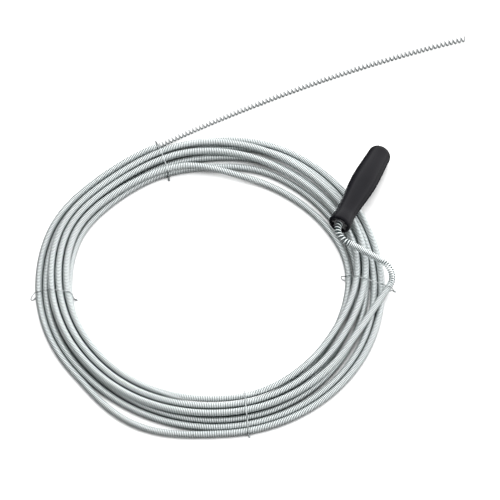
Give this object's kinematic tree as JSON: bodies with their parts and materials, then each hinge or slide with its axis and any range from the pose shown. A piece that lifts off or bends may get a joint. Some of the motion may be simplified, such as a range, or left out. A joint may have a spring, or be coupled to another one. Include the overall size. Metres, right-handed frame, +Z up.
{
  "type": "drain auger",
  "caption": "Hand-coiled close-wound spring cable tied into a ring, with an open-wound leading tip and a bent crank end that turns in a moulded grip.",
  "frame": {"origin": "centre of the coiled ring on the flat plane it rests on", "axes": "+Z up; +X from the ring centre towards the tied crank end; +Y towards the side where the leading tip leaves the ring"},
  "size_m": [0.5465, 0.5985, 0.055],
  "materials": {
    "spring_wire": "zinc-plated round wire, satin bright with dark gaps between turns",
    "tie_wire": "thin bare galvanised wire, twisted ends",
    "grip_plastic": "moulded black plastic, semi-gloss",
    "bush_plastic": "moulded charcoal plastic, satin",
    "bright_steel": "turned steel, bright"
  },
  "bodies": {
    "coil": {"spring_cable": "spring_wire", "tie_wire_back": "tie_wire", "tie_wire_left": "tie_wire", "tie_wire_front": "tie_wire", "tie_wire_right": "tie_wire"},
    "crank_foot": {"crank_foot_spring": "spring_wire"},
    "crank_arm": {"crank_arm_spring": "spring_wire"},
    "crank_neck": {"crank_neck_spring": "spring_wire", "spindle": "bright_steel", "thrust_washer": "bright_steel"},
    "handle": {"grip": "grip_plastic", "mouth_bush": "bush_plastic"},
    "tip_1": {"tip_spring_1": "spring_wire"},
    "tip_2": {"tip_spring_2": "spring_wire"},
    "tip_3": {"tip_spring_3": "spring_wire"},
    "tip_4": {"tip_spring_4": "spring_wire"}
  },
  "joints": [
    {"name": "crank_lift", "type": "hinge", "parent": "coil", "child": "crank_foot", "pos_m": [0.22798, -0.00793, 0.01538], "axis": [0.8634, -0.5045, 0], "range_deg": [0, 45]},
    {"name": "elbow_flex", "type": "hinge", "parent": "crank_foot", "child": "crank_arm", "pos_m": [0.22862, 0.00842, 0.01826], "axis": [0, 0, 1], "range_deg": [-25, 0]},
    {"name": "neck_flex", "type": "hinge", "parent": "crank_arm", "child": "crank_neck", "pos_m": [0.17439, 0.03705, 0.04008], "axis": [0.9832, -0.1823, 0], "range_deg": [0, 35]},
    {"name": "handle_spin", "type": "hinge", "parent": "crank_neck", "child": "handle", "pos_m": [0.16355, 0.06227, 0.0415], "axis": [0.3838, 0.9042, -0.1874], "continuous": true},
    {"name": "tip_raise", "type": "hinge", "parent": "coil", "child": "tip_1", "pos_m": [-0.05617, 0.20642, 0.00599], "axis": [0.493, -0.87, 0], "range_deg": [0, 60]},
    {"name": "tip_bend_1", "type": "hinge", "parent": "tip_1", "child": "tip_2", "pos_m": [0.03514, 0.25465, 0.00434], "axis": [0, 0, 1], "range_deg": [-12, 40]},
    {"name": "tip_bend_2", "type": "hinge", "parent": "tip_2", "child": "tip_3", "pos_m": [0.12913, 0.29741, 0.0038], "axis": [0, 0, 1], "range_deg": [-12, 40]},
    {"name": "tip_bend_3", "type": "hinge", "parent": "tip_3", "child": "tip_4", "pos_m": [0.22548, 0.33455, 0.0038], "axis": [0, 0, 1], "range_deg": [-12, 40]}
  ],
  "couplings": [
    {"joint": "tip_bend_2", "follows": "tip_bend_1", "ratio": 1},
    {"joint": "tip_bend_3", "follows": "tip_bend_1", "ratio": 1}
  ]
}
